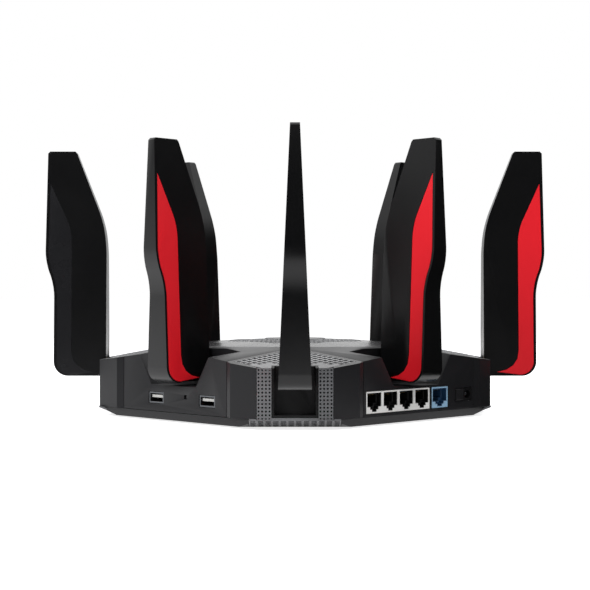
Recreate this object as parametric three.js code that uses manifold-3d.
// Free-standing wireless router with eight tilting blade antennas.
// Millimetres, +Z up, origin on the table under the middle of the body.
// The four long faces of the body look along X and Y, the four short noses along the diagonals.
import * as THREE from 'three';
import { mergeGeometries, mergeVertices } from 'three/addons/utils/BufferGeometryUtils.js';
import Module from 'manifold-3d';

const wasm = await Module();
wasm.setup();

// ---- Driving dimensions -------------------------------------------------------------

const GAP = 0.3; // clearance between pieces that touch
const OVER = 1; // how far a cutter runs past what it cuts
const QUARTER = Math.PI / 2;
const EIGHTH = Math.PI / 4;
const SAME = 1e-4; // corners closer than this are one corner
const CURVE_STEPS = 5; // straight pieces in each arc of an outline
const BORE_SIDES = 12; // sides of a round hole or boss
const THIN_SIDES = 10; // sides of a thin round hole or pin

// Body
const FACE_R = 111; // middle of the body to a long face
const NOSE_HALF = 23.5; // half width of a nose
const NOSE_R = FACE_R * Math.SQRT2 - NOSE_HALF; // middle of the body to a nose
const BASE_Z = 1.2; // underside of the pan, above the table by the feet
const SPLIT_Z = 6.5; // joint between pan and upper shell
const ROOF_Z = 48.5; // flat middle of the top
const FACE_TOP_Z = 43; // top edge of a long face
const NOSE_TOP_Z = 38; // top edge of a nose
const ROOF_FACE_L = 31; // length of the roof's fall towards a long face
const ROOF_NOSE_L = 62.5; // length of the roof's fall towards a nose
const NOSE_LOW_Z = 6; // lower edge of a nose, where its underside sweeps inward
const SWEEP_L = 13; // length of that sweep
const PAN_LEAN = 1.4; // how far the pan's long edges lean inward at the bottom
const WALL = 2.4; // housing wall
const FAR = 1.5 * FACE_R; // past the edge of the body in every direction
const ROOF_FACE_R = FACE_R - ROOF_FACE_L;
const ROOF_NOSE_R = NOSE_R - ROOF_NOSE_L;
const SWEEP_R = NOSE_R - SWEEP_L;

// Board and what stands on it, from the floor of the pan up
const STANDOFF = 2.9; // board above the floor of the pan
const BOARD_Z = BASE_Z + WALL + STANDOFF; // underside of the board
const BOARD_T = 1.6; // board thickness
const BOARD_IN = 4; // board edge inside the long faces
const BOARD_NOSE_IN = 12; // board edge inside the noses
const BOARD_TOP_Z = BOARD_Z + BOARD_T;
const PART_Z = BOARD_TOP_Z + GAP; // underside of what stands on the board
const JACK_H = 13.7; // height of a network socket
const JACK_TOP_Z = PART_Z + JACK_H;

// Sockets: across is the place along the long face
const JACK_FRONT = 0.4; // how far a socket stays behind the face
const JACK_DEPTH = 18;
const LAN_START = -13.3; // end of the row of four that is next to the single socket
const LAN_W = 61.4;
const LAN_COUNT = 4;
const WAN_GAP = 2.2; // plain wall between the row and the single socket
const WAN_W = 16.5;
const LAN_ACROSS = LAN_START + LAN_W / 2;
const WAN_ACROSS = LAN_START - WAN_GAP - WAN_W / 2;
const PORT_W = 11.8; // plug opening
const PORT_H = 6.2;
const PORT_DEPTH = 13.5;
const LATCH_STEPS = [[6.6, 2], [3.8, 1.8]]; // width and height of the two steps for the plug's latch
const USB_ACROSS = [-17.3, 32.7];
const USB_W = 14.6;
const USB_UP = 7; // middle of the socket above the board
const USB_H = 7.2;
const USB_WALL = 0.9;
const TONGUE_T = 1.8;
const POWER_GAP = 7.6; // plain wall between the single socket and the power button
const POWER_SIZE = 7.4;
const DC_GAP = 1.2; // plain wall between the power button and the power socket
const DC_SIZE = 8.6;
const POWER_ACROSS = WAN_ACROSS - WAN_W / 2 - POWER_GAP - POWER_SIZE / 2;
const DC_ACROSS = POWER_ACROSS - POWER_SIZE / 2 - DC_GAP - DC_SIZE / 2;
const DC_BORE_R = 3.1;
const DC_PIN_R = 1;
const DC_DEPTH = 12;
const DC_BACK = 2; // material behind the bore
const CONTROL_UP = 7.6; // middle of power button and power socket above the board
const USB_Z = PART_Z + USB_UP;
const CONTROL_Z = PART_Z + CONTROL_UP;

// Arms of the upper shell between the corner caps
const ARM_END = 2.9; // row of sockets to the end of its arm
const POWER_END = 1.7; // power socket to the end of its arm
const ARM_HALF = LAN_START + LAN_W + ARM_END; // half width of an arm
const POWER_ARM_HALF = DC_SIZE / 2 - DC_ACROSS + POWER_END; // the same beside the power socket

// Grilles over the corners
const SHEET = 1.6; // perforated sheet
const CAP_RIM = 4; // rim of a corner cap along the arms
const CAP_EDGE = 3; // rim of a corner cap along the long faces
const UNDER_EDGE = 4.5; // how far the grille under a nose is wider than the nose
const SWEEP_HALF = NOSE_HALF + UNDER_EDGE;
const HOLE_PITCH = 6; // spacing of the grille holes
const HOLE = 4.3; // side of a grille hole
const HOLE_MARGIN = 1.5; // least plain border round the holes

// Notch for a blade in a long face
const NOTCH_T = 1.4; // notch floor and side thickness
const NOTCH_Z = JACK_TOP_Z + GAP + NOTCH_T; // notch floor
const NOTCH_LOW = 22; // half width at the floor
const NOTCH_HIGH = 34; // half width at the top of the face

// Channel for a blade in a nose
const CHANNEL_HALF = 12.5; // half width inside
const CHANNEL_Z = 9.5; // floor
const CHANNEL_T = 1.5; // wall

// Antenna blades: X runs outward from the inner edge, Z is height above the table
const FOOT_GAP = 2.5; // room under a foot as it tilts over the notch floor
const BLADE_H = 156.1; // foot to tip
const BLADE_W = 36.3; // width of the lower part
const KNEE_OUT = 6.3; // how far the knee stands out
const KNEE_UP = 63; // foot to where the outer edge starts to slant out
const KNEE_H = 16; // height of that slant
const TIP_BACK = 1.4; // how far the tip leans back from the knee
const TIP_W = 20.3; // width of the tip
const BEND_UP = 90.7; // foot to where the inner edge leaves the upright
const BEND_H = 16; // first bend to second bend
const BEND_IN = 2.3; // how far the inner edge has come in at the second bend
const HEEL_R = 10; // rounding of the outer lower corner
const TIP_R = 1.4; // small chamfer of the tip corners
const FOOT_HALF = 10; // half thickness at the foot
const TIP_HALF = 2.9; // half thickness at the tip
const SHOE_R = 8; // rounding of the foot where it turns over a notch floor
const NOSE_BLADE_IN = 2.5; // inner edge of a blade behind its nose
const SIDE_BLADE_IN = 23; // inner edge of a blade behind its long face
const FOOT_Z = NOTCH_Z + FOOT_GAP; // underside of a blade
const TIP_Z = FOOT_Z + BLADE_H;
const KNEE_LOW_Z = FOOT_Z + KNEE_UP;
const KNEE_HIGH_Z = KNEE_LOW_Z + KNEE_H;
const BEND_Z = FOOT_Z + BEND_UP;
const BEND_HIGH_Z = BEND_Z + BEND_H;
const KNEE_W = BLADE_W + KNEE_OUT;
const TIP_OUT = KNEE_W - TIP_BACK;
const NOSE_BLADE_R = NOSE_R - NOSE_BLADE_IN;
const SIDE_BLADE_R = FACE_R - SIDE_BLADE_IN;

// Coloured inlay on one broad face of a blade, and the plain panel on the other
const INLAY_EDGE = 1.8; // rim left along the blade's outer edge
const INLAY_LOW = 0.8; // rim left along the foot
const INLAY_W = 12.2; // outer edge of the blade to the inner side of the inlay
const INLAY_DEPTH = 1.2; // depth of its pocket
const INLAY_PROUD = 0.2; // how far it stands out of the blade
const PANEL_DEPTH = 0.4; // depth of the plain panel
const INLAY_DOWN = 22.4; // tip of the blade to the pointed upper end
const INLAY_POINT = 33; // height of that point
const INLAY_TOE = 25.6; // outer edge of the inlay to the tip of its curl along the foot
const INLAY_TOE_UP = 2.7; // height of that tip above the foot
const INLAY_CURL_UP = 17.7; // foot to where the curl leaves the upright
const INLAY_TOP_Z = TIP_Z - INLAY_DOWN;
const INLAY_TURN_Z = INLAY_TOP_Z - INLAY_POINT;
const INLAY_CURL_Z = FOOT_Z + INLAY_CURL_UP;

// Hinge connector of a blade
const PIVOT_Z = FOOT_Z + SHOE_R; // hinge axis above the table
const PIN_R = 3; // connector barrel
const NECK_R = 2.6; // neck through the socket wall
const COLLAR_R = 4.2; // collar in front of the socket wall
const COLLAR_T = 1.5; // collar thickness
const BACK_STEP = 3; // socket wall to the blade's inner edge
const BACK_T = 1.5; // socket wall thickness
const NECK_OUT = 3.5; // neck end behind the socket wall
const BORE_DEPTH = 12; // bore for the connector in the blade

// Centre plate
const PLATE_FACE_IN = 4; // edge of the plate inside the flat of the roof, towards the long faces
const PLATE_NOSE_IN = 5; // the same towards the noses
const PLATE_T = 1.1; // thickness
const PLATE_RISE = 4; // how far its middle stands above the roof
const PLATE_TOP_R = 18; // middle to the edge of its flat top
const PLATE_RIM = 8; // solid rim round the hollow under its slopes
const PLATE_FACE_R = ROOF_FACE_R - PLATE_FACE_IN;
const PLATE_NOSE_R = ROOF_NOSE_R - PLATE_NOSE_IN;

// Heat sink, feet, screws and vents
const SINK_HALF = 50; // half width of the heat sink
const SINK_BASE = 4; // heat sink base plate
const SINK_TOP_Z = 32; // top of the fins
const FIN_COUNT = 9;
const FIN_T = 2;
const FOOT_PAD_R = 8; // rubber foot
const FOOT_PAD_IN = 41; // foot centre inside the long faces
const FOOT_SEAT = 0.7; // depth of the seat in the pan
const SCREW_IN = 6.8; // screw centre inside the long face
const SCREW_END = 4.2; // screw centre to the end of the arm
const SCREW_R = 1.5;
const SCREW_HEAD_R = 2.9;
const SCREW_HEAD_T = 1.5;
const SCREW_L = 14.8; // head to tip
const POST_HALF = 3.4; // half width of the shell's screw posts
const POST_OVER = 4; // post above the tip of its screw
const VENT_L = 34; // slots in the floor of the pan, under the heat sink
const VENT_W = 3;
const VENT_STEP = 9;
const VENT_COUNT = 7;

// Buttons and status light: across is the place along the long face
const RESET_ACROSS = 12;
const RESET_R = 1;
const RESET_UP = 8.6; // middle of the button above the board
const FRONT_UP = 6.6; // middle of the three front buttons above the board
const FRONT_W = 9;
const FRONT_H = 5;
const FRONT_STEP = 24;
const BUTTON_PROUD = 1; // how far a button stands out of the face
const BUTTON_LIP = 1; // lip that keeps a button in its opening
const BUTTON_LIP_T = 1.4;
const BUTTON_L = 8;
const SWITCH_GAP = 2.3; // room for a button's travel in front of its switch
const SWITCH_L = 6;
const LENS_W = 62; // status light window on the front
const LENS_H = 2.4;
const LENS_UP = 1.4; // middle of the window above the board
const LENS_T = 3;
const RESET_Z = PART_Z + RESET_UP;
const FRONT_Z = PART_Z + FRONT_UP;
const LENS_Z = PART_Z + LENS_UP;

// ---- Finishes -----------------------------------------------------------------------

const FINISH = {
  housing: { color: 0x26272a, roughness: 0.42, metalness: 0 },
  grille: { color: 0x3a3b3e, roughness: 0.45, metalness: 0.1 },
  blade: { color: 0x0c0c0e, roughness: 0.38, metalness: 0 },
  inlay: { color: 0xd9232b, roughness: 0.4, metalness: 0 },
  socket: { color: 0x101012, roughness: 0.6, metalness: 0 },
  plate: { color: 0x17181a, roughness: 0.3, metalness: 0 },
  brass: { color: 0xc7a253, roughness: 0.3, metalness: 1 },
  board: { color: 0x17402a, roughness: 0.55, metalness: 0 },
  aluminium: { color: 0xb9bcc0, roughness: 0.4, metalness: 1 },
  lan: { color: 0xe9e9e6, roughness: 0.45, metalness: 0 },
  wan: { color: 0x1f6fa8, roughness: 0.4, metalness: 0 },
  steel: { color: 0xc4c6c9, roughness: 0.3, metalness: 1 },
  rubber: { color: 0x1b1b1c, roughness: 0.9, metalness: 0 },
  lens: { color: 0xdfe4e8, roughness: 0.2, metalness: 0 },
};
const materials = Object.fromEntries(
  Object.entries(FINISH).map(([slot, look]) => [slot, new THREE.MeshStandardMaterial(look)]),
);

// ---- Basic solids ---------------------------------------------------------------------

// Turns a closed geometry into a solid that can be joined and cut.
function solid(geometry) {
  const bare = geometry.clone();
  bare.deleteAttribute('normal');
  bare.deleteAttribute('uv');
  const merged = mergeVertices(bare, SAME);
  const mesh = new wasm.Mesh({
    numProp: 3,
    vertProperties: new Float32Array(merged.attributes.position.array),
    triVerts: new Uint32Array(merged.index.array),
  });
  return new wasm.Manifold(mesh);
}

// Turns a solid back into a geometry.
function geometryOf(body) {
  const mesh = body.getMesh();
  const geometry = new THREE.BufferGeometry();
  geometry.setAttribute('position', new THREE.BufferAttribute(mesh.vertProperties, 3));
  geometry.setIndex(new THREE.BufferAttribute(mesh.triVerts, 1));
  geometry.computeVertexNormals();
  return geometry;
}

const AXES = {
  z: [[1, 0, 0], [0, 1, 0], [0, 0, 1]],
  x: [[0, 1, 0], [0, 0, 1], [1, 0, 0]],
  y: [[1, 0, 0], [0, 0, 1], [0, -1, 0]],
};

// Extrudes an outline along one axis. The outline holds the other two coordinates.
function prism(outline, axis, from, to) {
  const shape = outline instanceof THREE.Shape ? outline : new THREE.Shape(outline);
  const geometry = new THREE.ExtrudeGeometry(shape, {
    depth: to - from, bevelEnabled: false, curveSegments: CURVE_STEPS,
  });
  const [right, up, forward] = AXES[axis].map((v) => new THREE.Vector3(...v));
  geometry.applyMatrix4(new THREE.Matrix4().makeBasis(right, up, forward));
  const start = axis === 'y' ? -to : from;
  return geometry.translate(...forward.multiplyScalar(start).toArray());
}

const points = (...pairs) => pairs.map(([x, y]) => new THREE.Vector2(x, y));

function rectangle(x0, x1, y0, y1) {
  return points([x0, y0], [x1, y0], [x1, y1], [x0, y1]);
}

function block(x0, x1, y0, y1, z0, z1) {
  return prism(rectangle(x0, x1, y0, y1), 'z', z0, z1);
}

function regular(radius, sides, x = 0, y = 0, turn = 0) {
  return Array.from({ length: sides }, (_, i) => {
    const angle = turn + (i * 2 * Math.PI) / sides;
    return new THREE.Vector2(x + radius * Math.cos(angle), y + radius * Math.sin(angle));
  });
}

// A solid of revolution about the X axis, from pairs of place and radius.
function turnedAboutX(profile, segments) {
  const outline = profile.map(([x, r]) => new THREE.Vector2(r, x));
  return new THREE.LatheGeometry(outline, segments).rotateX(QUARTER).rotateY(QUARTER);
}

const joined = (bodies) => bodies.reduce((a, b) => a.add(b));
const cutBy = (body, cutters) => (cutters.length
  ? body.subtract(solid(mergeGeometries(cutters))) : body);
const spun = (geometry, angle) => geometry.clone().rotateZ(angle);

// Moves every side of a closed outline outward by the same distance.
function grown(outline, distance) {
  const count = outline.length;
  return outline.map((point, i) => {
    const before = point.clone().sub(outline[(i + count - 1) % count]).normalize();
    const after = outline[(i + 1) % count].clone().sub(point).normalize();
    const out = new THREE.Vector2(before.y, -before.x);
    const middle = out.clone().add(new THREE.Vector2(after.y, -after.x)).normalize();
    return point.clone().addScaledVector(middle, distance / Math.max(middle.dot(out), 0.5));
  });
}

// ---- Body envelope ----------------------------------------------------------------------

// An octagon with four long sides across X and Y and four short ones across the diagonals.
function octagon(face, nose) {
  const half = nose * Math.SQRT2 - face;
  const side = points([face, -half], [face, half]);
  const turns = [0, 1, 2, 3];
  return turns.flatMap((k) => side.map((p) => p.clone().rotateAround(new THREE.Vector2(), k * QUARTER)));
}

// Everything above a plane that falls from a flat top to one edge.
function overSlope(startR, startZ, edgeR, edgeZ, inset) {
  const fall = (startZ - edgeZ) / (edgeR - startR);
  const top = startZ - inset * Math.hypot(1, fall);
  const outline = points(
    [startR - FAR, top + FAR * fall], [FAR, top - (FAR - startR) * fall],
    [FAR, 2 * FAR], [startR - FAR, 2 * FAR],
  );
  return prism(outline, 'y', -FAR, FAR);
}

// Everything below a plane that rises from the underside to one edge.
function underSweep(startR, edgeR, edgeZ, inset) {
  const rise = (edgeZ - BASE_Z) / (edgeR - startR);
  const low = BASE_Z + inset * Math.hypot(1, rise);
  const outline = points(
    [startR - FAR, low - FAR * rise], [startR - FAR, low - 2 * FAR * rise - FAR],
    [FAR, low - 2 * FAR * rise - FAR], [FAR, low + (FAR - startR) * rise],
  );
  return prism(outline, 'y', -FAR, FAR);
}

// The closed outer form of the body, with every face moved inward by the inset.
function envelope(inset) {
  let body = solid(prism(octagon(FACE_R - inset, NOSE_R - inset), 'z', BASE_Z + inset, ROOF_Z - inset));
  for (let k = 0; k < 4; k += 1) {
    const across = k * QUARTER;
    const diagonal = across + EIGHTH;
    body = cutBy(body, [spun(overSlope(ROOF_FACE_R, ROOF_Z, FACE_R, FACE_TOP_Z, inset), across)]);
    body = cutBy(body, [spun(overSlope(ROOF_NOSE_R, ROOF_Z, NOSE_R, NOSE_TOP_Z, inset), diagonal)]);
    body = cutBy(body, [spun(underSweep(SWEEP_R, NOSE_R, NOSE_LOW_Z, inset), diagonal)]);
    body = cutBy(body, [spun(underSweep(FACE_R - PAN_LEAN, FACE_R, SPLIT_Z, inset), across)]);
  }
  return body;
}

const outside = envelope(0);
const housingSkin = outside.subtract(envelope(WALL));
const sheetSkin = outside.subtract(envelope(SHEET));

// Corners counter-clockwise from 45 degrees, with the arm's half width on the second side.
const CORNERS = [
  { name: 'rear_side', arm: ARM_HALF },
  { name: 'rear_far', arm: POWER_ARM_HALF },
  { name: 'front_far', arm: ARM_HALF },
  { name: 'front_side', arm: ARM_HALF },
];

// The corner of the body at 45 degrees that a cap and a grille fill.
const cornerArea = (arm, edge, low) => block(ARM_HALF + edge, FAR, arm + edge, FAR, low, FAR);

// ---- Housing ------------------------------------------------------------------------------

// The notch of a long face as an outline across the face, grown by a wall.
function notchOutline(wall) {
  const lean = (NOTCH_HIGH - NOTCH_LOW) / (FACE_TOP_Z - NOTCH_Z);
  const low = NOTCH_LOW + wall;
  const high = low + lean * (FACE_TOP_Z - NOTCH_Z + FAR);
  const top = FACE_TOP_Z + FAR;
  return points([-low, NOTCH_Z - wall], [low, NOTCH_Z - wall], [high, top], [-high, top]);
}

const SIDE_BACK_R = SIDE_BLADE_R - BACK_STEP; // front of the wall behind a side blade
const NOSE_BACK_R = NOSE_BLADE_R - BACK_STEP; // front of the wall behind a nose blade

function notchTray(angle) {
  const tray = prism(notchOutline(NOTCH_T), 'x', SIDE_BACK_R - BACK_T, FACE_R);
  return outside.intersect(solid(spun(tray, angle)));
}

function notchRoom(angle) {
  return spun(prism(notchOutline(0), 'x', SIDE_BACK_R, FAR), angle);
}

// Hole in the wall behind a blade for its connector.
function neckHole(backR, angle) {
  const hole = prism(regular(NECK_R + GAP, BORE_SIDES, 0, PIVOT_Z), 'x', backR - BACK_T - OVER, backR + OVER);
  return spun(hole, angle);
}

function wallOpening(across, width, z, height, angle) {
  const hole = rectangle(across - width / 2, across + width / 2, z - height / 2, z + height / 2);
  return spun(prism(grown(hole, GAP), 'x', FACE_R - WALL - OVER, FACE_R + OVER), angle);
}

const SIDE_ANGLE = 0; // long face with the two USB sockets
const REAR_ANGLE = QUARTER; // long face with the network and power sockets
const FRONT_ANGLE = -QUARTER; // long face with the three buttons
const JACK_Z = PART_Z + JACK_H / 2;
// On the rear face, across runs along +X, which is the negative tangent of that face.
const rearAcross = (x) => -x;

function openings() {
  const front = [-1, 0, 1].map((k) => wallOpening(k * FRONT_STEP, FRONT_W, FRONT_Z, FRONT_H, FRONT_ANGLE));
  const usb = USB_ACROSS.map((y) => wallOpening(y, USB_W, USB_Z, USB_H, SIDE_ANGLE));
  return [
    ...front,
    ...usb,
    wallOpening(rearAcross(LAN_ACROSS), LAN_W, JACK_Z, JACK_H, REAR_ANGLE),
    wallOpening(rearAcross(WAN_ACROSS), WAN_W, JACK_Z, JACK_H, REAR_ANGLE),
    wallOpening(rearAcross(DC_ACROSS), DC_SIZE, CONTROL_Z, DC_SIZE, REAR_ANGLE),
    wallOpening(rearAcross(POWER_ACROSS), POWER_SIZE, CONTROL_Z, POWER_SIZE, REAR_ANGLE),
    wallOpening(RESET_ACROSS, 2 * RESET_R, RESET_Z, 2 * RESET_R, SIDE_ANGLE),
    wallOpening(0, LENS_W, LENS_Z, LENS_H, FRONT_ANGLE),
  ];
}

const SCREW_TIP_Z = BASE_Z + SCREW_L;
const fourTimes = (x, y) => [1, -1].flatMap((sx) => [1, -1].map((sy) => [sx * x, sy * y]));
const screwPlaces = fourTimes(FACE_R - SCREW_IN, ARM_HALF - SCREW_END);
const footPlaces = fourTimes(FACE_R - FOOT_PAD_IN, FACE_R - FOOT_PAD_IN);

const screwHole = (x, y, top) => prism(regular(SCREW_R + GAP, THIN_SIDES, x, y), 'z', 0, top);

function screwPost(x, y) {
  const inner = Math.sign(x) * (Math.abs(x) - POST_HALF);
  const outer = Math.sign(x) * (FACE_R - WALL / 2);
  const [x0, x1] = [Math.min(inner, outer), Math.max(inner, outer)];
  return solid(block(x0, x1, y - POST_HALF, y + POST_HALF, PART_Z, SCREW_TIP_Z + POST_OVER));
}

// Upper shell: roof and four side walls with the notches, ports and screw posts.
function upperShell() {
  const quarters = [0, 1, 2, 3].map((k) => k * QUARTER);
  let shell = cutBy(housingSkin, [block(-FAR, FAR, -FAR, FAR, -FAR, SPLIT_Z + GAP / 2)]);
  CORNERS.forEach(({ arm }, k) => { shell = cutBy(shell, [spun(cornerArea(arm, 0, 0), k * QUARTER)]); });
  shell = joined([shell, ...quarters.map(notchTray), ...screwPlaces.map(([x, y]) => screwPost(x, y))]);
  quarters.forEach((angle) => {
    shell = cutBy(cutBy(shell, [notchRoom(angle)]), [neckHole(SIDE_BACK_R, angle)]);
  });
  const seat = grown(octagon(PLATE_FACE_R, PLATE_NOSE_R), GAP);
  shell = cutBy(shell, [prism(seat, 'z', ROOF_Z - PLATE_T - GAP, ROOF_Z + OVER)]);
  const pilots = screwPlaces.map(([x, y]) => screwHole(x, y, SCREW_TIP_Z + OVER));
  openings().forEach((cutter) => { shell = cutBy(shell, [cutter]); });
  return cutBy(shell, pilots);
}

// The low pyramid of the centre plate with its flat top, every slope moved inward by the inset.
function plateForm(edge, inset) {
  const outline = octagon(PLATE_FACE_R - edge, PLATE_NOSE_R - edge);
  const top = ROOF_Z + PLATE_RISE;
  let form = solid(prism(outline, 'z', ROOF_Z - PLATE_T - inset, top - inset));
  for (let k = 0; k < 8; k += 1) {
    const edgeR = k % 2 === 0 ? PLATE_FACE_R : PLATE_NOSE_R;
    form = cutBy(form, [spun(overSlope(PLATE_TOP_R, top, edgeR, ROOF_Z, inset), k * EIGHTH)]);
  }
  return form;
}

function centrePlate() {
  return plateForm(0, 0).subtract(plateForm(PLATE_RIM, PLATE_T));
}

// Slots in the floor of the pan, in a row on each side of the middle.
function vents() {
  const start = -((VENT_COUNT - 1) / 2) * VENT_STEP;
  return [1, -1].flatMap((side) => Array.from({ length: VENT_COUNT }, (_, i) => {
    const x = start + i * VENT_STEP;
    const y = side * (VENT_L / 2 + VENT_STEP / 2);
    return block(x - VENT_W / 2, x + VENT_W / 2, y - VENT_L / 2, y + VENT_L / 2, 0, BASE_Z + WALL + OVER);
  }));
}

// Lower pan: floor, low leaning rim, vents, seats for the feet and bosses for the screws.
function lowerPan() {
  let pan = cutBy(housingSkin, [block(-FAR, FAR, -FAR, FAR, SPLIT_Z - GAP / 2, FAR)]);
  const bosses = screwPlaces.map(([x, y]) => solid(
    prism(regular(SCREW_HEAD_R + WALL / 2, BORE_SIDES, x, y), 'z', BASE_Z, BOARD_Z - GAP),
  ));
  pan = joined([pan, ...bosses]);
  const noses = [0, 1, 2, 3].map((k) => spun(
    block(SWEEP_R - GAP, FAR, -SWEEP_HALF - GAP, SWEEP_HALF + GAP, -OVER, FAR), EIGHTH + k * QUARTER,
  ));
  noses.forEach((nose) => { pan = cutBy(pan, [nose]); });
  const seats = footPlaces.map(([x, y]) => prism(
    regular(FOOT_PAD_R + GAP, 2 * THIN_SIDES, x, y), 'z', 0, BASE_Z + FOOT_SEAT,
  ));
  const heads = screwPlaces.map(([x, y]) => prism(
    regular(SCREW_HEAD_R + GAP, BORE_SIDES, x, y), 'z', 0, BASE_Z + SCREW_HEAD_T + GAP,
  ));
  const shafts = screwPlaces.map(([x, y]) => screwHole(x, y, PART_Z));
  return [seats, heads, shafts, vents()].reduce(cutBy, pan);
}

// ---- Corners --------------------------------------------------------------------------------

// The area that the grille fills on the nose at 45 degrees, grown by an edge.
function grilleArea(arm, edge) {
  const inner = ARM_HALF + CAP_RIM - edge;
  const innerY = arm + CAP_RIM - edge;
  const outer = FACE_R - CAP_EDGE + edge;
  const noseHalf = NOSE_HALF - GAP + edge;
  const over = SPLIT_Z + GAP / 2 - edge;
  const top = solid(block(inner, outer, innerY, outer, over, FAR));
  const noseStart = NOSE_R - CAP_EDGE * Math.SQRT2 - OVER;
  const nose = solid(spun(block(noseStart, FAR, -noseHalf, noseHalf, over, FAR), EIGHTH));
  const front = solid(spun(block(SWEEP_R, FAR, -noseHalf, noseHalf, -OVER, FAR), EIGHTH));
  const low = SPLIT_Z - GAP / 2;
  const under = solid(spun(block(SWEEP_R, FAR, -SWEEP_HALF, SWEEP_HALF, -OVER, low), EIGHTH));
  return joined(edge > 0 ? [top, nose] : [top, nose, front, under]);
}

// Room for the channel bracket of a nose at 45 degrees, grown by an edge.
function channelRoom(edge) {
  const half = CHANNEL_HALF + CHANNEL_T + edge;
  const [back, low] = [NOSE_BACK_R - BACK_T - edge, CHANNEL_Z - CHANNEL_T - edge];
  return spun(block(back, FAR, -half, half, low, FAR), EIGHTH);
}

function cornerCap(arm) {
  const corner = housingSkin.intersect(solid(cornerArea(arm, GAP, SPLIT_Z + GAP / 2)));
  return corner.subtract(grilleArea(arm, GAP));
}

// Square holes in rows along X and Y over the sloping top of a nose at 45 degrees.
function topHoles(arm) {
  const reach = HOLE / 2 + HOLE_MARGIN;
  const [startX, startY] = [ARM_HALF + CAP_RIM + reach, arm + CAP_RIM + reach];
  const end = FACE_R - CAP_EDGE - reach;
  const count = Math.floor((end - startX) / HOLE_PITCH);
  const holes = [];
  for (let i = 0; i <= count; i += 1) {
    for (let j = 0; j <= count; j += 1) {
      const [x, y] = [end - i * HOLE_PITCH, end - j * HOLE_PITCH];
      const along = (x + y) / Math.SQRT2;
      const across = Math.abs(x - y) / Math.SQRT2;
      const inSheet = y > startY && x > startX && along < NOSE_R - SHEET - reach * Math.SQRT2;
      const inChannel = along > NOSE_BACK_R - BACK_T - reach * Math.SQRT2
        && across < CHANNEL_HALF + CHANNEL_T + reach * Math.SQRT2;
      if (inSheet && !inChannel) holes.push(squareHole(x, y, 0, 'z', SPLIT_Z, FAR));
    }
  }
  return holes;
}

// A square hole through a sheet, along one axis.
function squareHole(x, y, turn, axis, from, to) {
  return prism(regular(HOLE / Math.SQRT2, 4, x, y, EIGHTH + turn), axis, from, to);
}

// One column of holes in each upright strip beside the channel, and a row under the nose.
function noseHoles() {
  const corner = HOLE / Math.SQRT2;
  const across = (CHANNEL_HALF + CHANNEL_T + NOSE_HALF) / 2;
  const low = NOSE_LOW_Z + SHEET + corner;
  const high = NOSE_TOP_Z - SHEET - corner - HOLE_MARGIN;
  const steps = Math.floor((high - low) / HOLE_PITCH);
  const holes = [];
  for (let i = 0; i <= steps; i += 1) {
    const z = low + (i * (high - low)) / steps;
    [-across, across].forEach((y) => {
      holes.push(spun(squareHole(y, z, EIGHTH, 'x', NOSE_BACK_R, FAR), EIGHTH));
    });
  }
  const underR = (SWEEP_R + NOSE_R) / 2;
  const count = Math.floor((SWEEP_HALF - corner - HOLE_MARGIN) / HOLE_PITCH);
  for (let j = -count; j <= count; j += 1) {
    holes.push(spun(squareHole(underR, j * HOLE_PITCH, EIGHTH, 'z', -OVER, SPLIT_Z + OVER), EIGHTH));
  }
  return holes;
}

function grille(arm) {
  const sheet = sheetSkin.intersect(grilleArea(arm, 0)).subtract(solid(channelRoom(GAP)));
  return cutBy(sheet, [...topHoles(arm), ...noseHoles()]);
}

// Black channel that carries the connector of a nose blade.
function channelBracket() {
  const room = block(NOSE_BACK_R, FAR, -CHANNEL_HALF, CHANNEL_HALF, CHANNEL_Z, FAR);
  const front = block(NOSE_R - GAP, FAR, -FAR, FAR, -FAR, FAR);
  const full = outside.intersect(solid(channelRoom(0)));
  return cutBy(full, [spun(front, EIGHTH)]).subtract(solid(spun(room, EIGHTH)))
    .subtract(solid(neckHole(NOSE_BACK_R, EIGHTH)));
}

// ---- Antennas ---------------------------------------------------------------------------------

const halfThickness = (z) => FOOT_HALF + ((TIP_HALF - FOOT_HALF) * (z - FOOT_Z)) / (TIP_Z - FOOT_Z);

function bladeOutline() {
  const outline = new THREE.Shape();
  outline.moveTo(0, FOOT_Z);
  outline.lineTo(BLADE_W - HEEL_R, FOOT_Z);
  outline.absarc(BLADE_W - HEEL_R, FOOT_Z + HEEL_R, HEEL_R, -QUARTER, 0, false);
  outline.lineTo(BLADE_W, KNEE_LOW_Z);
  outline.lineTo(KNEE_W, KNEE_HIGH_Z);
  outline.lineTo(TIP_OUT, TIP_Z - TIP_R);
  outline.lineTo(TIP_OUT - TIP_R, TIP_Z);
  outline.lineTo(TIP_OUT - TIP_W + TIP_R, TIP_Z);
  outline.lineTo(TIP_OUT - TIP_W, TIP_Z - TIP_R);
  outline.lineTo(BEND_IN, BEND_HIGH_Z);
  outline.lineTo(0, BEND_Z);
  return outline;
}

// The taper of a blade from foot to tip, as an outline across its thickness.
function taperOutline() {
  const low = FOOT_Z - OVER;
  const high = TIP_Z + OVER;
  const [wide, thin] = [halfThickness(low), halfThickness(high)];
  return points([-wide, low], [wide, low], [thin, high], [-thin, high]);
}

// What the rounded stretch of a foot loses at one of its lower corners.
function shoeCutter(length) {
  const outline = new THREE.Shape();
  const [low, side] = [FOOT_Z - OVER, FOOT_HALF + OVER];
  const centre = FOOT_HALF - SHOE_R;
  outline.moveTo(centre, FOOT_Z);
  outline.absarc(centre, FOOT_Z + SHOE_R, SHOE_R, -QUARTER, 0, false);
  outline.lineTo(side, FOOT_Z + SHOE_R);
  outline.lineTo(side, low);
  outline.lineTo(centre, low);
  return prism(outline, 'x', -OVER, length);
}

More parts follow.
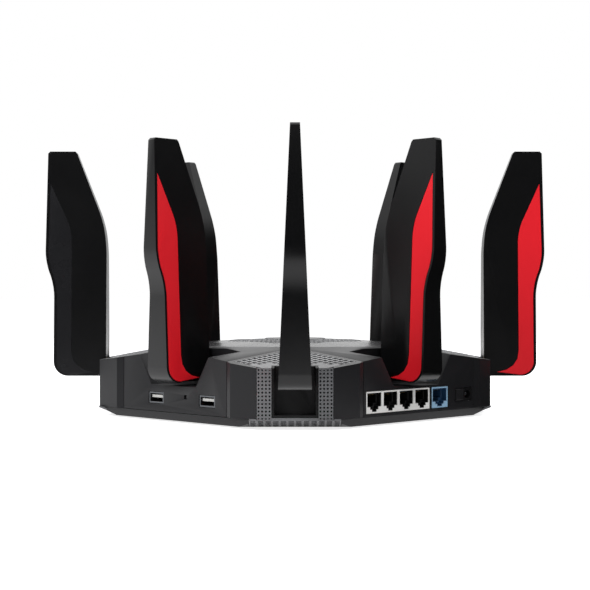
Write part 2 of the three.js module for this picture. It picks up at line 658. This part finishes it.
function mirroredAcross(geometry) {
  const copy = geometry.clone().applyMatrix4(new THREE.Matrix4().makeScale(1, -1, 1));
  const position = copy.attributes.position.array;
  for (let i = 0; i < position.length; i += 9) {
    for (let k = 0; k < 3; k += 1) {
      [position[i + 3 + k], position[i + 6 + k]] = [position[i + 6 + k], position[i + 3 + k]];
    }
  }
  return copy;
}

// Outline of the inlay: along the outer edge with the knee, curling inward over the foot.
function inlayOutline() {
  const outer = BLADE_W - INLAY_EDGE;
  const inner = BLADE_W - INLAY_W;
  const low = FOOT_Z + INLAY_LOW;
  const heel = HEEL_R - INLAY_LOW;
  const toe = [outer - INLAY_TOE, FOOT_Z + INLAY_TOE_UP];
  const outline = new THREE.Shape();
  outline.moveTo(...toe);
  outline.lineTo(outer - heel, low);
  outline.absarc(outer - heel, low + heel, heel, -QUARTER, 0, false);
  outline.lineTo(outer, KNEE_LOW_Z);
  outline.lineTo(KNEE_W - INLAY_EDGE, KNEE_HIGH_Z);
  outline.lineTo(TIP_OUT - INLAY_EDGE, INLAY_TOP_Z);
  outline.lineTo(inner, INLAY_TURN_Z);
  outline.lineTo(inner, INLAY_CURL_Z);
  outline.quadraticCurveTo(inner, toe[1] + INLAY_EDGE, ...toe);
  return outline.getPoints(4).slice(0, -1);
}

// A slab that follows one broad face, from below it to above it.
function faceSlab(side, below, above) {
  const row = [FOOT_Z - OVER, TIP_Z + OVER];
  const outline = points(
    [halfThickness(row[0]) - below, row[0]], [halfThickness(row[0]) + above, row[0]],
    [halfThickness(row[1]) + above, row[1]], [halfThickness(row[1]) - below, row[1]],
  );
  const slab = prism(outline, 'x', -OVER, KNEE_W + OVER);
  return solid(side > 0 ? slab : mirroredAcross(slab));
}

// A blade whose inlay is on the given side, with its foot rounded over a length.
function blade(side, shoeLength) {
  let body = solid(prism(bladeOutline(), 'y', -FOOT_HALF - OVER, FOOT_HALF + OVER));
  body = body.intersect(solid(prism(taperOutline(), 'x', -OVER, KNEE_W + OVER)));
  if (shoeLength > 0) {
    const shoe = shoeCutter(shoeLength);
    body = cutBy(body, [shoe, mirroredAcross(shoe)]);
  }
  body = cutBy(body, [prism(regular(PIN_R + GAP, BORE_SIDES, 0, PIVOT_Z), 'x', -OVER, BORE_DEPTH)]);
  const pocket = solid(prism(grown(inlayOutline(), GAP), 'y', -FAR, FAR));
  const panel = solid(prism(inlayOutline(), 'y', -FAR, FAR));
  body = body.subtract(pocket.intersect(faceSlab(side, INLAY_DEPTH, OVER)));
  return body.subtract(panel.intersect(faceSlab(-side, PANEL_DEPTH, OVER)));
}

function inlay(side) {
  const body = solid(prism(inlayOutline(), 'y', -FAR, FAR));
  return body.intersect(faceSlab(side, INLAY_DEPTH - GAP, INLAY_PROUD));
}

// Coaxial connector on the hinge axis: neck, collar and barrel.
function connector() {
  const collarStart = -BACK_STEP + GAP;
  const collarEnd = collarStart + COLLAR_T;
  const back = -BACK_STEP - BACK_T - NECK_OUT;
  const end = BORE_DEPTH - OVER;
  return turnedAboutX([
    [back, 0], [back, NECK_R], [collarStart, NECK_R], [collarStart, COLLAR_R],
    [collarEnd, COLLAR_R], [collarEnd, PIN_R], [end - OVER, PIN_R], [end, PIN_R - OVER], [end, 0],
  ], THIN_SIDES);
}

// ---- Sockets and buttons ------------------------------------------------------------------------

const JACK_R = FACE_R - JACK_FRONT;

// A plug opening with two steps for the plug's latch below it, cut from the front.
function plugOpening(across) {
  const latchH = LATCH_STEPS.reduce((sum, [, height]) => sum + height, 0);
  const low = PART_Z + (JACK_H - PORT_H - latchH) / 2 + latchH;
  const half = [[PORT_W / 2, low + PORT_H], [PORT_W / 2, low]];
  let z = low;
  LATCH_STEPS.forEach(([width, height]) => {
    half.push([width / 2, z], [width / 2, z - height]);
    z -= height;
  });
  const right = half.map(([w, h]) => [across + w, h]);
  const left = half.map(([w, h]) => [across - w, h]).reverse();
  return prism(points(...left, ...right), 'x', JACK_R - PORT_DEPTH, JACK_R + OVER);
}

function networkJack(across, width, count) {
  const [low, high] = [across - width / 2, across + width / 2];
  const body = solid(block(JACK_R - JACK_DEPTH, JACK_R, low, high, PART_Z, JACK_TOP_Z));
  const pitch = width / count;
  const cutters = Array.from({ length: count }, (_, i) => plugOpening(low + (i + 0.5) * pitch));
  return cutBy(body, cutters);
}

function usbJack(across) {
  const [w, h] = [USB_W / 2, USB_H / 2];
  const body = block(JACK_R - JACK_DEPTH, JACK_R, across - w, across + w, USB_Z - h, USB_Z + h);
  const foot = block(JACK_R - JACK_DEPTH, FACE_R - WALL - OVER, across - w, across + w, PART_Z, USB_Z);
  const [iw, ih] = [w - USB_WALL, h - USB_WALL];
  const room = block(JACK_R - PORT_DEPTH, JACK_R + OVER, across - iw, across + iw, USB_Z - ih, USB_Z + ih);
  const tongueW = iw - USB_WALL;
  const tongue = block(
    JACK_R - PORT_DEPTH - OVER, JACK_R - OVER, across - tongueW, across + tongueW,
    USB_Z + ih - USB_WALL - TONGUE_T, USB_Z + ih - USB_WALL,
  );
  return joined([cutBy(joined([solid(body), solid(foot)]), [room]), solid(tongue)]);
}

function powerJack(across) {
  const half = DC_SIZE / 2;
  const [low, high] = [across - half, across + half];
  const back = JACK_R - DC_DEPTH;
  const body = block(back, JACK_R, low, high, CONTROL_Z - half, CONTROL_Z + half);
  const foot = block(back, FACE_R - WALL - OVER, low, high, PART_Z, CONTROL_Z);
  const bore = prism(regular(DC_BORE_R, BORE_SIDES, across, CONTROL_Z), 'x', back + DC_BACK, JACK_R + OVER);
  const pin = prism(regular(DC_PIN_R, 6, across, CONTROL_Z), 'x', back + OVER, JACK_R - OVER);
  return joined([cutBy(joined([solid(body), solid(foot)]), [bore]), solid(pin)]);
}

// A push button: cap through the wall, a lip behind it and a stem.
function pushButton(width, height) {
  const [w, h] = [width / 2, height / 2];
  const [lipW, lipH] = [w + BUTTON_LIP, h + BUTTON_LIP];
  const wallIn = FACE_R - WALL - GAP;
  const cap = solid(block(wallIn - BUTTON_LIP_T, FACE_R + BUTTON_PROUD, -w, w, -h, h));
  const lip = solid(block(wallIn - BUTTON_LIP_T, wallIn, -lipW, lipW, -lipH, lipH));
  const stem = solid(block(FACE_R - BUTTON_L, wallIn, -h / 2, h / 2, -h / 2, h / 2));
  return joined([cap, lip, stem]);
}

function resetButton() {
  const wallIn = FACE_R - WALL - GAP;
  const end = FACE_R - OVER;
  return turnedAboutX([
    [FACE_R - BUTTON_L, 0], [FACE_R - BUTTON_L, RESET_R], [wallIn - BUTTON_LIP_T, RESET_R],
    [wallIn - BUTTON_LIP_T, RESET_R + BUTTON_LIP], [wallIn, RESET_R + BUTTON_LIP], [wallIn, RESET_R],
    [end, RESET_R], [end, 0],
  ], 8);
}

function statusLens() {
  const [half, top] = [LENS_W / 2, LENS_Z + LENS_H / 2];
  const front = block(FACE_R - LENS_T, FACE_R, -half, half, LENS_Z - LENS_H / 2, top);
  const flange = block(FACE_R - LENS_T - OVER, FACE_R - WALL - GAP, -half, half, PART_Z, top);
  return joined([solid(front), solid(flange)]);
}

// ---- Inside ---------------------------------------------------------------------------------------

// A switch on the board behind a button, as a box that reaches the button's height.
function switchBox(across, z, angle) {
  const end = FACE_R - BUTTON_L - SWITCH_GAP;
  const half = FRONT_H / 2;
  return spun(block(end - SWITCH_L, end, across - half, across + half, BOARD_Z + OVER, z + half), angle);
}

function mainBoard() {
  const edge = octagon(FACE_R - BOARD_IN, NOSE_R - BOARD_NOSE_IN);
  const sheet = solid(prism(edge, 'z', BOARD_Z, BOARD_TOP_Z));
  const switches = [
    ...[-1, 0, 1].map((k) => switchBox(k * FRONT_STEP, FRONT_Z, FRONT_ANGLE)),
    switchBox(rearAcross(POWER_ACROSS), CONTROL_Z, REAR_ANGLE),
    switchBox(RESET_ACROSS, RESET_Z, SIDE_ANGLE),
  ].map(solid);
  const board = joined([sheet, ...switches]);
  return cutBy(board, screwPlaces.map(([x, y]) => screwHole(x, y, PART_Z)));
}

function heatSink() {
  const base = solid(block(-SINK_HALF, SINK_HALF, -SINK_HALF, SINK_HALF, PART_Z, PART_Z + SINK_BASE));
  const step = (2 * SINK_HALF - FIN_T) / (FIN_COUNT - 1);
  const fins = Array.from({ length: FIN_COUNT }, (_, i) => {
    const x = -SINK_HALF + i * step;
    return solid(block(x, x + FIN_T, -SINK_HALF, SINK_HALF, PART_Z, SINK_TOP_Z));
  });
  return joined([base, ...fins]);
}

function footPad() {
  const top = BASE_Z + FOOT_SEAT - GAP;
  const chamfer = FOOT_SEAT / 2;
  const profile = points(
    [0, 0], [FOOT_PAD_R - chamfer, 0], [FOOT_PAD_R, chamfer], [FOOT_PAD_R, top], [0, top],
  );
  return new THREE.LatheGeometry(profile, 16).rotateX(QUARTER);
}

function caseScrew() {
  const profile = points(
    [0, BASE_Z], [SCREW_HEAD_R, BASE_Z], [SCREW_HEAD_R, BASE_Z + SCREW_HEAD_T],
    [SCREW_R, BASE_Z + SCREW_HEAD_T], [SCREW_R, SCREW_TIP_Z - SCREW_R], [0, SCREW_TIP_Z],
  );
  return new THREE.LatheGeometry(profile, 8).rotateX(QUARTER);
}

// ---- Assembly ---------------------------------------------------------------------------------------

const router = new THREE.Group();

// Adds one named mesh to a parent group, from a solid or a geometry.
function place(parent, name, shape, slot, position = [0, 0, 0], angle = 0) {
  const mesh = new THREE.Mesh(shape.isBufferGeometry ? shape : geometryOf(shape), materials[slot]);
  mesh.name = name;
  mesh.position.set(...position);
  mesh.rotation.z = angle;
  parent.add(mesh);
}

place(router, 'lower_pan', lowerPan(), 'housing');
place(router, 'upper_shell', upperShell(), 'housing');
place(router, 'centre_plate', centrePlate(), 'plate');
place(router, 'main_board', mainBoard(), 'board');
place(router, 'heat_sink', heatSink(), 'aluminium');

CORNERS.forEach(({ name, arm }, k) => {
  place(router, `corner_cap_${name}`, cornerCap(arm), 'housing', [0, 0, 0], k * QUARTER);
  place(router, `grille_${name}`, grille(arm), 'grille', [0, 0, 0], k * QUARTER);
  place(router, `channel_${name}`, channelBracket(), 'socket', [0, 0, 0], k * QUARTER);
});

// Places of the eight blades, counter-clockwise from +X. Side is the face that has the inlay.
const BLADES = [
  { name: 'side', side: 1 },
  { name: 'rear_side', side: -1 },
  { name: 'rear', side: -1 },
  { name: 'rear_far', side: -1 },
  { name: 'far', side: 1 },
  { name: 'front_far', side: -1 },
  { name: 'front', side: -1 },
  { name: 'front_side', side: -1 },
];
const pin = connector();
BLADES.forEach(({ name, side }, k) => {
  const seat = new THREE.Group();
  seat.rotation.z = k * EIGHTH;
  const onNose = k % 2 === 1;
  const radius = onNose ? NOSE_BLADE_R : SIDE_BLADE_R;
  const shoeLength = onNose ? 0 : SIDE_BLADE_IN + OVER;
  place(seat, `antenna_${name}`, blade(side, shoeLength), 'blade', [radius, 0, 0]);
  place(seat, `inlay_${name}`, inlay(side), 'inlay', [radius, 0, 0]);
  place(seat, `connector_${name}`, pin, 'brass', [radius, 0, PIVOT_Z]);
  router.add(seat);
});

USB_ACROSS.forEach((across, i) => place(router, `usb_jack_${i + 1}`, usbJack(across), 'steel'));

const rear = new THREE.Group();
rear.rotation.z = REAR_ANGLE;
place(rear, 'lan_jack', networkJack(rearAcross(LAN_ACROSS), LAN_W, LAN_COUNT), 'lan');
place(rear, 'wan_jack', networkJack(rearAcross(WAN_ACROSS), WAN_W, 1), 'wan');
place(rear, 'power_jack', powerJack(rearAcross(DC_ACROSS)), 'socket');
const powerSpot = [0, rearAcross(POWER_ACROSS), CONTROL_Z];
place(rear, 'power_button', pushButton(POWER_SIZE, POWER_SIZE), 'socket', powerSpot);
router.add(rear);

const front = new THREE.Group();
front.rotation.z = FRONT_ANGLE;
['wps', 'wifi', 'led'].forEach((name, i) => {
  place(front, `${name}_button`, pushButton(FRONT_W, FRONT_H), 'socket', [0, (i - 1) * FRONT_STEP, FRONT_Z]);
});
place(front, 'status_lens', statusLens(), 'lens');
router.add(front);
place(router, 'reset_button', resetButton(), 'socket', [0, RESET_ACROSS, RESET_Z]);

['rear_side', 'front_side', 'rear_far', 'front_far'].forEach((name, i) => {
  place(router, `foot_${name}`, footPad(), 'rubber', [...footPlaces[i], 0]);
});
screwPlaces.forEach(([x, y], i) => place(router, `case_screw_${i + 1}`, caseScrew(), 'steel', [x, y, 0]));

export default router;
